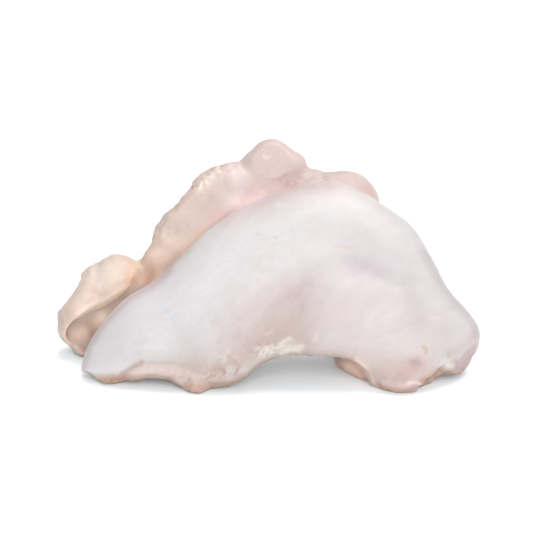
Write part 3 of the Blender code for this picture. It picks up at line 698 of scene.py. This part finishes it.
def closed_surface(grid):
    """Points and triangles of a grid whose columns meet, with its first and last row closed by a fan."""
    rows, columns = grid.shape[:2]
    index = np.arange(rows * columns).reshape(rows, columns)
    after = np.roll(index, -1, axis=1)
    a, b, c, d = index[:-1], after[:-1], after[1:], index[1:]
    sides = np.concatenate([np.stack([a, b, c], 2).reshape(-1, 3), np.stack([a, c, d], 2).reshape(-1, 3)])
    first, last = rows * columns, rows * columns + 1
    start = np.stack([np.full(columns, first), after[0], index[0]], 1)
    end = np.stack([np.full(columns, last), index[-1], after[-1]], 1)
    points = np.concatenate([grid.reshape(-1, 3), grid[0].mean(0)[None], grid[-1].mean(0)[None]])
    return points, np.concatenate([sides, start, end])


def joined(surfaces):
    """Points and faces of several surfaces in one list each, the faces counted on from the points before."""
    starts = np.cumsum([0] + [len(points) for points, _ in surfaces[:-1]])
    points = np.concatenate([points for points, _ in surfaces])
    return points, np.concatenate([faces + start for (_, faces), start in zip(surfaces, starts)])


def back_bubbles(stations, plan):
    """Balls sunk into a sheet's back and clear of the floor.

    Ball i lies at i times SPREAD_ALONG along the sheet and i times SPREAD_AROUND around it, less whole turns.
    """
    count, sizes, span, wrap = plan
    grid = sheet_grid(stations, (), BUBBLE_RINGS, BUBBLE_SIDES)
    chance = np.random.default_rng(BUBBLE_SEED)
    bubbles = []
    for i in range(count):
        along = np.interp((i * SPREAD_ALONG) % 1, (0, 1), span)
        around = np.interp((i * SPREAD_AROUND) % 1, (0, 1), wrap)
        x, z, depth = grid[int(along * BUBBLE_RINGS), int(around * BUBBLE_SIDES)]
        size = chance.uniform(*sizes)
        place = (x, z, depth - size * BUBBLE_SINK)
        if upright(np.array([place]))[0, 2] - size > BUBBLE_CLEARANCE:
            bubbles.append((place, (size, size, size), 0))
    return bubbles


def lobes(plans):
    """The closed surface of each lobe that is planned."""
    return [closed_surface(lobe_grid(*plan)) for plan in plans]


def upright(plane):
    """Points of the drawing plane (x, z, depth) in the stone's own upright frame (x, y, up)."""
    x, z, depth = plane.T
    y = depth * math.cos(LEAN) + z * math.sin(LEAN)
    up = z * math.cos(LEAN) - depth * math.sin(LEAN)
    return np.stack([x, y, up], 1)


def laid_flat(points):
    """Upright points (x, y, up) as x, z, depth of the drawing plane: the turn of upright, undone."""
    x, y, up = points.T
    z = y * math.sin(LEAN) + up * math.cos(LEAN)
    depth = y * math.cos(LEAN) - up * math.sin(LEAN)
    return np.stack([x, z, depth], 1)


def new_piece(name, points, faces):
    """A mesh object with the given upright points, which are in millimetres."""
    mesh = bpy.data.meshes.new(name)
    mesh.from_pydata(points * MM, [], faces)
    mesh.update()
    piece = bpy.data.objects.new(name, mesh)
    bpy.context.scene.collection.objects.link(piece)
    return piece


def points_of(mesh):
    flat = np.empty(len(mesh.vertices) * 3, np.float32)
    mesh.vertices.foreach_get("co", flat)
    return flat.reshape(-1, 3).astype(float) / MM


def normals_of(mesh):
    flat = np.empty(len(mesh.vertices) * 3, np.float32)
    mesh.vertex_normals.foreach_get("vector", flat)
    return flat.reshape(-1, 3).astype(float)


def faces_of(mesh):
    corners = np.empty(len(mesh.loops), np.int32)
    mesh.loops.foreach_get("vertex_index", corners)
    return corners.reshape(len(mesh.polygons), -1)


def edges_of(mesh):
    flat = np.empty(len(mesh.edges) * 2, np.int32)
    mesh.edges.foreach_get("vertices", flat)
    return flat.reshape(-1, 2)


def skinned(surfaces, hollow=None):
    """The mesh of one skin around surfaces that overlap, with a hollow cut out of it where one is given."""
    points, faces = joined(surfaces)
    body = new_piece("growth", upright(points), faces)
    helpers = [body]
    skin = body.modifiers.new("one skin", "REMESH")
    skin.mode = "VOXEL"
    skin.voxel_size = SKIN_VOXEL * MM
    if hollow:
        points, faces = closed_surface(sheet_grid(hollow, (), SHEET_RINGS, SHEET_SIDES))
        tool = new_piece("hollow", upright(points), faces)
        helpers.append(tool)
        cut = body.modifiers.new("hollow", "BOOLEAN")
        cut.operation = "DIFFERENCE"
        cut.object = tool
        again = body.modifiers.new("even faces", "REMESH")
        again.mode = "VOXEL"
        again.voxel_size = SKIN_VOXEL * MM
    bpy.context.view_layer.update()
    mesh = bpy.data.meshes.new_from_object(body.evaluated_get(bpy.context.evaluated_depsgraph_get()))
    for helper in helpers:
        bpy.data.objects.remove(helper)
    return mesh


def triangles(quads):
    """Two triangles for each quad."""
    return np.concatenate([quads[:, [0, 1, 2]], quads[:, [0, 2, 3]]])


def neighbour_mean(values, edges):
    """For each point, the mean of values over the points that an edge joins it to."""
    count = len(values)
    ends = np.concatenate([edges[:, 0], edges[:, 1]])
    others = np.concatenate([edges[:, 1], edges[:, 0]])
    near = np.bincount(ends, minlength=count)[:, None]
    sums = [np.bincount(ends, weights=column[others], minlength=count) for column in values.T]
    return np.stack(sums, 1) / near


def eased(value, low, high):
    """0 below low, 1 above high, and a smooth step between them."""
    t = np.clip((value - low) / (high - low), 0, 1)
    return t * t * (3 - 2 * t)


def cloud(points, size, seed, octaves=3):
    """Fractal noise around 0: a sum of octaves, each half as high and twice as fine as the one before.

    An octave has random heights from -1 to 1 at the corners of a cubic lattice, and smooth steps between them.
    """
    table = np.random.default_rng(seed).uniform(-1, 1, (32, 32, 32))
    total = np.zeros(len(points))
    weight = 1.0
    for octave in range(octaves):
        place = points / size * 2**octave + 11.3 * octave
        corner = np.floor(place).astype(int)
        part = place - corner
        part = part * part * (3 - 2 * part)
        for step in itertools.product((0, 1), repeat=3):
            share = np.prod(np.where(np.array(step), part, 1 - part), axis=1)
            at = (corner + step) % 32
            total += weight * share * table[at[:, 0], at[:, 1], at[:, 2]]
        weight /= 2
    return total


def line_distance(x, z, line):
    """Distance in the drawing plane to a line of points, and its side: positive to the left of its run."""
    nearest = np.full(len(x), 1e9)
    side = np.zeros(len(x))
    for (ax, az), (bx, bz) in zip(line[:-1], line[1:]):
        run_x, run_z = bx - ax, bz - az
        share = np.clip(((x - ax) * run_x + (z - az) * run_z) / (run_x**2 + run_z**2), 0, 1)
        off_x, off_z = x - ax - share * run_x, z - az - share * run_z
        squared = off_x**2 + off_z**2
        closer = squared < nearest
        nearest = np.where(closer, squared, nearest)
        side = np.where(closer, np.sign(run_x * off_z - run_z * off_x), side)
    return np.sqrt(nearest), side


def seam():
    """Places (x, z) along the fold's upper edge, from its left tip to the end of the dome."""
    return curve_through(FOLD_STATIONS[:SEAM_STATIONS], SEAM_POINTS)[:, :2]


def flowed(points, edges):
    """Points drawn towards their neighbours' mean near the seam, so that the crust runs into the fold."""
    x, z, _ = laid_flat(points).T
    distance, _ = line_distance(x, z, seam())
    share = (np.exp(-((distance / SEAM_REACH) ** 2)) * np.interp(x, *SEAM_FLOW))[:, None] / 2
    for _ in range(SEAM_ROUNDS):
        points = points + (neighbour_mean(points, edges) - points) * share
    return points


def flattened(plane, zone):
    """Points that stand out past a flat face near its place, moved back onto it against its look."""
    for where, place, look, reach in FLAT_FACES.values():
        look = np.array(look) / np.linalg.norm(look)
        off = plane - np.array(place)
        excess = np.maximum(off @ look, 0)
        near = (1 - eased(np.linalg.norm(off, axis=1), reach, reach * FACE_FADE)) * zone[where]
        plane = plane - look * (excess * near)[:, None]
    return plane


def grown_skin():
    """The mesh of the stone's skin: the crust with its hollowed ear, the fold, the feet and the bubbles."""
    crust_sheet = closed_surface(sheet_grid(CRUST_STATIONS, CRUST_RELIEF, SHEET_RINGS, SHEET_SIDES))
    fold_sheet = closed_surface(sheet_grid(FOLD_STATIONS, FOLD_RELIEF, SHEET_RINGS, SHEET_SIDES))
    crust_lobes = lobes([*CRUST_LOBES.values(), *back_bubbles(CRUST_STATIONS, CRUST_BUBBLES)])
    fold_lobes = lobes([*FOOT_LOBES.values(), *back_bubbles(FOLD_STATIONS, FOLD_BUBBLES)])
    crust = skinned([crust_sheet, *crust_lobes], EAR_HOLLOW)
    carved = laid_flat(points_of(crust)), triangles(faces_of(crust))
    return skinned([carved, fold_sheet, *fold_lobes])


def zones(plane, normals):
    """Masks from 0 to 1 for the parts of the surface, from each point's place and the way it faces."""
    x, z, depth = plane.T
    facing, down = -normals[:, 2], -upright(normals)[:, 2]
    seam_off, seam_side = line_distance(x, z, seam())
    rim_off, rim_side = line_distance(x, z, RIM_LINE)
    end_off, end_side = line_distance(x, z, END_LINE)
    inner_off, inner_side = line_distance(x, z, INNER_LINE)
    behind = depth - np.interp(z, *FOLD_MIDDLE) - np.interp(x, *FOLD_END_BACK)
    front, side = eased(facing, *FRONT_FACING), eased(facing, *SIDE_FACING)
    above_seam = eased(seam_off * seam_side, *PAST_SEAM) * (1 - eased(x, *CRUST_ENDS))
    crust = np.maximum(above_seam, eased(behind, *BEHIND_FOLD))
    past_inner_edge = eased(-inner_off * inner_side, *PAST_INNER_EDGE)
    return {
        "front": front,
        "crust": crust,
        "crust front": crust * front,
        "ear ceiling": crust * side * eased(-x, *EAR_LEFT_OF) * (1 - eased(facing, *VIEWER_FACING)),
        "fold": (1 - crust) * front,
        "end": (1 - crust) * eased(-end_off * end_side, *PAST_END),
        "under": eased(down, *FLOOR_FACING) * eased(-upright(plane)[:, 2], *UNDERSIDE_BELOW),
        "inner wall": side * past_inner_edge * eased(x, *INNER_WALL_BEGINS) * eased(-x, *INNER_WALL_LEFT_OF),
        "rim": eased(-rim_off * rim_side, *PAST_RIM) * (1 - eased(x, *RIM_ENDS)) * front,
    }


def layered(base, layers):
    """Colours laid over one another: each layer moves the colour towards its own by its mask."""
    colour = base
    for paint, mask in layers:
        colour = colour + (np.array(paint) - colour) * np.clip(mask, 0, 1)[:, None]
    return colour


def paint(red, green, blue):
    """A colour from 0 to 255, as the linear shares of light that the shader takes: the sRGB curve, undone."""
    chart = np.array([red, green, blue]) / 255
    return np.where(chart <= 0.04045, chart / 12.92, ((chart + 0.055) / 1.055) ** 2.4)


def keep_on(mesh, name, values):
    """Stores one number or one colour for each point of the mesh."""
    if values.ndim == 1:
        mesh.attributes.new(name, "FLOAT", "POINT").data.foreach_set("value", values.astype(np.float32))
        return
    opaque = np.concatenate([values, np.ones((len(values), 1))], 1).astype(np.float32)
    mesh.attributes.new(name, "FLOAT_COLOR", "POINT").data.foreach_set("color", opaque.ravel())


def stone_piece():
    """The whole stone, and the middle of its box before it was moved to the origin.

    The skin is worn, its crust flowed into the fold, its faces cut flat and softened, and each point moved
    along its normal by the relief. What would reach through the floor is pressed flat on it.
    """
    skin = grown_skin()
    points, quads, edges = points_of(skin), faces_of(skin), edges_of(skin)
    for _ in range(WORN_ROUNDS):
        points = points + (neighbour_mean(points, edges) - points) / 2
    points = flowed(points, edges)
    worn = new_piece("worn", points, quads)
    plane, normals = laid_flat(points), laid_flat(normals_of(worn.data))
    bpy.data.objects.remove(worn)
    zone = zones(plane, normals)
    plane = flattened(plane, zone)
    for _ in range(SOFTENED_ROUNDS):
        plane = plane + (neighbour_mean(plane, edges) - plane) / 2
    plane = plane + normals * surface_relief(plane, zone)[:, None]
    points = upright(plane)
    points[:, 2] = np.maximum(points[:, 2], 0)
    low, high = points.min(0), points.max(0)
    points[:, :2] -= (low[:2] + high[:2]) / 2
    stone = new_piece("stone", points, quads)
    stone.data.shade_smooth()
    keep_on(stone.data, "stone colour with painted light and shade", surface_colour(plane, zone))
    keep_on(stone.data, "grain", surface_grain(zone))
    keep_on(stone.data, "streak place", streaked(plane))
    bpy.data.meshes.remove(skin)
    return stone, (low + high) / 2


def mark_at(x, z, path, reach, turn):
    """1 on the mark, less around it: a turned Gaussian at one place, or a Gaussian across a line of places."""
    if len(path) == 1:
        return bump_at(x, z, path[0], reach, turn)
    distance, _ = line_distance(x, z, path)
    return np.exp(-((distance / reach[0]) ** 2))


def broken_up(plane, size, seed):
    """Islands of noise: 0 between them and 1 on them."""
    return eased(cloud(plane, size, seed, ISLAND_OCTAVES), *ISLANDS)


def noise_sum(plane, noises):
    """A sum of noises, each times its height."""
    return sum(height * cloud(plane, *noise) for height, *noise in noises)


def streaked(plane):
    """Points laid out along and across the streaks, and drawn together along them.

    A streak is a curve whose slope at x is the tangent of the streaks' turn there, and streaks lie above one
    another. A point's first number is the length of its streak up to x, over the stretch; its second is its
    height over the streak that starts from z = 0 at the first of STREAK_STEPS, taken square to the streak.
    """
    x, z, depth = plane.T
    turn = np.radians(np.interp(STREAK_STEPS, *STREAK_TURN))
    step = STREAK_STEPS[1] - STREAK_STEPS[0]
    rise = np.interp(x, STREAK_STEPS, np.cumsum(np.tan(turn)) * step)
    length = np.interp(x, STREAK_STEPS, np.cumsum(1 / np.cos(turn)) * step)
    above = (z - rise) * np.cos(np.interp(x, STREAK_STEPS, turn))
    return np.stack([length / STREAK_STRETCH, above, depth], 1)


def surface_relief(plane, zone):
    """How far each point is moved along its normal, in millimetres."""
    x, z, _ = plane.T
    fold, crust = noise_sum(plane, FOLD_NOISES), noise_sum(plane, CRUST_NOISES)
    broken = noise_sum(plane, BROKEN_NOISES) * np.maximum(zone["rim"], zone["under"])
    height = fold + (crust - fold) * zone["crust"] + broken
    for number, (where, path, reach, turn, rise, size) in enumerate(RELIEF_MARKS.values()):
        mark = rise * mark_at(x, z, path, reach, turn) * zone[where]
        height = height + (mark * cloud(plane, size, RELIEF_SEED + number) if size else mark)
    return height


def surface_colour(plane, zone):
    """The milky fold and rosy crust, then the lip, the underside and each mark of colour, then the painted light
    and shade.
    """
    x, z, _ = plane.T
    rosy = eased(x, *TURNS_ROSE)[:, None]
    crust = paint(*PEACH) + (paint(*ROSE) - paint(*PEACH)) * rosy
    colour = paint(*MILK) + (crust - paint(*MILK)) * zone["crust"][:, None]
    wavering = MOTTLE * cloud(streaked(plane), *MOTTLE_STREAKS) + MOTTLE * cloud(plane, *MOTTLE_PATCHES)
    colour = colour * (1 + wavering)[:, None]
    layers = [(paint(*LIP_BEIGE), zone["rim"]), (paint(*UNDERSIDE_BROWN), zone["under"])]
    for number, (where, path, reach, turn, chart, strength, size) in enumerate(COLOUR_MARKS.values()):
        mask = strength * mark_at(x, z, path, reach, turn) * zone[where]
        layers.append((paint(*chart), mask * broken_up(plane, size, COLOUR_SEED + number) if size else mask))
    colour = layered(colour, layers)
    for where, path, reach, turn, amount in PAINTED_LIGHT_AND_SHADE_MARKS.values():
        colour = colour * (1 + amount * mark_at(x, z, path, reach, turn) * zone[where])[:, None]
    return colour


def surface_grain(zone):
    """How coarse the finish is: the grain of the whole stone and what its parts add, no more than 1."""
    return np.clip(GRAIN + sum(more * zone[where] for where, more in PART_GRAIN.items()), 0, 1)


def node(tree, kind, place, **settings):
    """A shader node at a place in the editor, with its settings."""
    made = tree.nodes.new(kind)
    made.location = place
    for name, value in settings.items():
        setattr(made, name, value)
    return made


def noise_node(tree, place, vector, scale, detail):
    """A noise read at a vector."""
    noise = node(tree, "ShaderNodeTexNoise", place)
    noise.inputs["Scale"].default_value = scale
    noise.inputs["Detail"].default_value = detail
    tree.links.new(vector, noise.inputs["Vector"])
    return noise.outputs["Fac"]


def spread_node(tree, place, value, low, high):
    """A value from 0 to 1 spread from low to high."""
    spread = node(tree, "ShaderNodeMapRange", place)
    spread.inputs["To Min"].default_value = low
    spread.inputs["To Max"].default_value = high
    tree.links.new(value, spread.inputs["Value"])
    return spread


def math_node(tree, place, operation, first, second):
    """Two values added or multiplied."""
    made = node(tree, "ShaderNodeMath", place, operation=operation)
    tree.links.new(first, made.inputs[0])
    tree.links.new(second, made.inputs[1])
    return made.outputs[0]


def colour_strength(tree, places):
    """The product of the colour's noises, each spread between its darkest and its lightest share."""
    shares = []
    for row, (where, scale, detail, darkest, lightest) in enumerate(COLOUR_NOISES):
        noise = noise_node(tree, (-1000, 550 + 250 * row), places[where], scale, detail)
        share = spread_node(tree, (-800, 550 + 250 * row), noise, darkest, lightest)
        share.inputs["From Min"].default_value, share.inputs["From Max"].default_value = NOISE_SPAN
        shares.append(share.outputs["Result"])
    strength = shares[0]
    for row, share in enumerate(shares[1:]):
        strength = math_node(tree, (-600 + 150 * row, 800), "MULTIPLY", strength, share)
    return strength


def chalcedony_material():
    """A waxy stone that light enters a little way, with its colour and grain at each point, and fine bumps."""
    material = bpy.data.materials.new("waxy chalcedony")
    material.use_nodes = True
    tree = material.node_tree
    shader = tree.nodes["Principled BSDF"]
    link = tree.links.new
    place = node(tree, "ShaderNodeTexCoord", (-1400, 0)).outputs["Object"]
    streaks = node(tree, "ShaderNodeAttribute", (-1400, 550), attribute_name="streak place").outputs["Vector"]
    colour = node(tree, "ShaderNodeAttribute", (-1000, 300), attribute_name="stone colour with painted light and shade").outputs["Color"]
    grain = node(tree, "ShaderNodeAttribute", (-1000, -100), attribute_name="grain").outputs["Fac"]

    shaded = node(tree, "ShaderNodeVectorMath", (-250, 400), operation="SCALE")
    link(colour, shaded.inputs[0])
    link(colour_strength(tree, {"streaks": streaks, "place": place}), shaded.inputs["Scale"])
    link(shaded.outputs["Vector"], shader.inputs["Base Color"])

    fine = noise_node(tree, (-1000, -350), place, *FINE_BUMPS)
    coarse = noise_node(tree, (-1000, -600), place, *COARSE_BUMPS)
    lift = math_node(tree, (-700, -350), "MULTIPLY", fine, grain)
    bump = node(tree, "ShaderNodeBump", (-300, -400))
    bump.inputs["Strength"].default_value = BUMP_STRENGTH
    bump.inputs["Distance"].default_value = BUMP_HEIGHT
    link(math_node(tree, (-500, -450), "ADD", lift, coarse), bump.inputs["Height"])
    link(bump.outputs["Normal"], shader.inputs["Normal"])

    link(spread_node(tree, (-300, -100), grain, *ROUGHNESS).outputs["Result"], shader.inputs["Roughness"])
    shader.inputs["Subsurface Weight"].default_value = SCATTER
    shader.inputs["Subsurface Radius"].default_value = SCATTER_REACH
    shader.inputs["Subsurface Scale"].default_value = SCATTER_SCALE
    shader.inputs["IOR"].default_value = REFRACTION
    shader.inputs["Specular IOR Level"].default_value = MIRRORING
    return material


def floor_material():
    """A pale table top whose roughness wavers a little."""
    material = bpy.data.materials.new("pale table")
    material.use_nodes = True
    tree = material.node_tree
    shader = tree.nodes["Principled BSDF"]
    noise = node(tree, "ShaderNodeTexNoise", (-600, 0))
    noise.inputs["Scale"].default_value = FLOOR_NOISE
    tree.links.new(node(tree, "ShaderNodeTexCoord", (-800, 0)).outputs["Object"], noise.inputs["Vector"])
    rough = spread_node(tree, (-400, 0), noise.outputs["Fac"], *FLOOR_ROUGHNESS)
    tree.links.new(rough.outputs["Result"], shader.inputs["Roughness"])
    shader.inputs["Base Color"].default_value = FLOOR_COLOUR
    shader.inputs["Emission Color"].default_value = (1, 1, 1, 1)
    shader.inputs["Emission Strength"].default_value = FLOOR_GLOW
    return material


def make_floor():
    """A flat grid of two by two faces under the stone."""
    span = np.linspace(-FLOOR_REACH, FLOOR_REACH, 3)
    x, y = np.meshgrid(span, span)
    points = np.stack([x.ravel(), y.ravel(), np.zeros(x.size)], 1)
    index = np.arange(x.size).reshape(x.shape)
    faces = np.stack([index[:-1, :-1], index[:-1, 1:], index[1:, 1:], index[1:, :-1]], 2).reshape(-1, 4)
    floor = new_piece("floor", points, faces)
    floor.data.materials.append(floor_material())


def make_camera(middle):
    """A long lens that looks square at the drawing plane."""
    forward = Vector((0, math.cos(LEAN), -math.sin(LEAN)))
    target = Vector(upright(np.array([VIEW_TARGET]))[0] - [middle[0], middle[1], 0]) * MM
    camera = bpy.data.cameras.new("camera")
    camera.sensor_width = SENSOR_WIDTH
    camera.lens = SENSOR_WIDTH * VIEW_DISTANCE / VIEW_WIDTH
    camera.clip_start, camera.clip_end = VIEW_RANGE
    eye = bpy.data.objects.new("camera", camera)
    bpy.context.scene.collection.objects.link(eye)
    eye.location = target - forward * VIEW_DISTANCE
    eye.rotation_mode = "QUATERNION"
    eye.rotation_quaternion = forward.to_track_quat("-Z", "Y")
    bpy.context.scene.camera = eye


def make_softbox(name, place, size, watts, colour):
    """A round lamp that looks at the stone."""
    light = bpy.data.lights.new(name, "AREA")
    light.shape = "DISK"
    light.size = size
    light.energy = watts
    light.color = colour
    lamp = bpy.data.objects.new(name, light)
    bpy.context.scene.collection.objects.link(lamp)
    lamp.location = place
    lamp.rotation_mode = "QUATERNION"
    lamp.rotation_quaternion = (-Vector(place)).to_track_quat("-Z", "Y")


def make_world():
    """An even white all around."""
    world = bpy.data.worlds.new("white room")
    world.use_nodes = True
    background = world.node_tree.nodes["Background"]
    background.inputs["Color"].default_value = (1, 1, 1, 1)
    background.inputs["Strength"].default_value = WORLD_STRENGTH
    bpy.context.scene.world = world
    bpy.context.scene.view_settings.view_transform = "Standard"


stone, middle = stone_piece()
stone.data.materials.append(chalcedony_material())
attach(stone, "root")
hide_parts(NODE)
make_floor()
make_camera(middle)
make_world()
for softbox in SOFTBOXES:
    make_softbox(*softbox)
